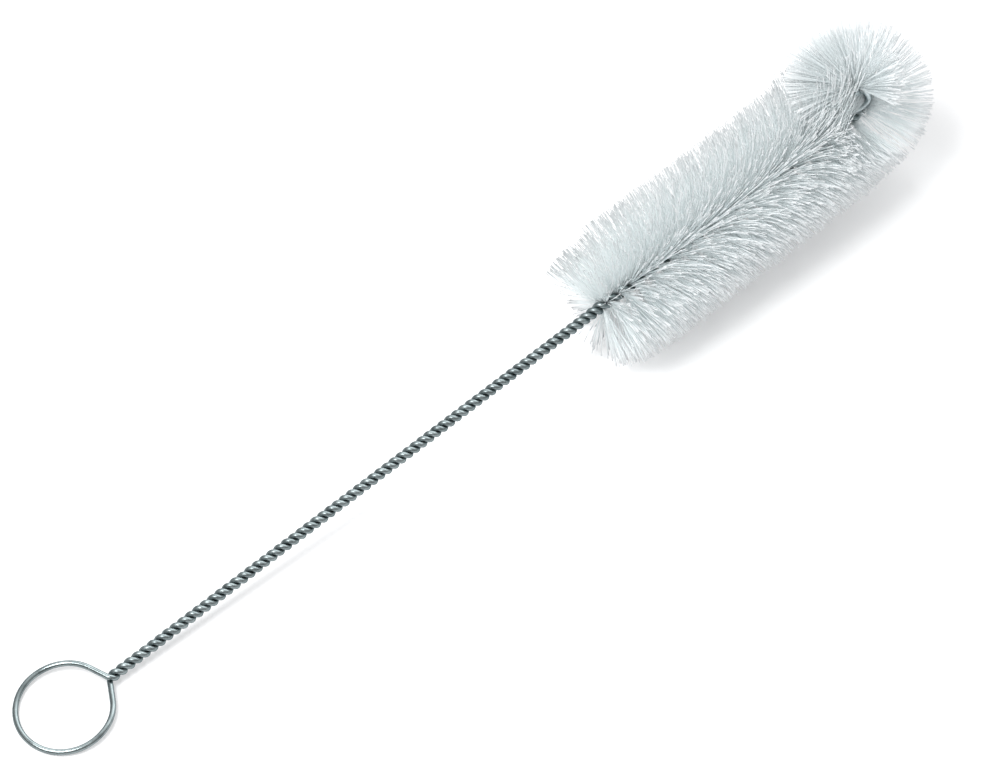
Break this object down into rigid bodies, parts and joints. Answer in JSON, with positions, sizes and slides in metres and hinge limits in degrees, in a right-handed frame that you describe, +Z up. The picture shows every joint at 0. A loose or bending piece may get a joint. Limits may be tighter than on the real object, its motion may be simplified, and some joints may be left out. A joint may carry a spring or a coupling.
{
  "type": "bottle brush",
  "caption": "Twisted-in-wire bottle brush: a galvanised wire with a hanging ring, a twisted stem, and a round head of pale filaments that fan out over a hooked tip.",
  "frame": {"origin": "middle of the bounding box on the floor, with the brush lying as it comes to rest", "axes": "+X along the brush from the ring to the tip, +Y to the left of that way, +Z up"},
  "size_m": [0.3089, 0.04, 0.0537],
  "materials": {
    "galvanised_wire": "galvanised, satin, blue-grey with bright lights",
    "filament": "pale translucent filament with a cool tint"
  },
  "bodies": {
    "root": {"wire": "galvanised_wire", "head_bristles": "filament", "tip_bristles": "filament"}
  },
  "joints": []
}
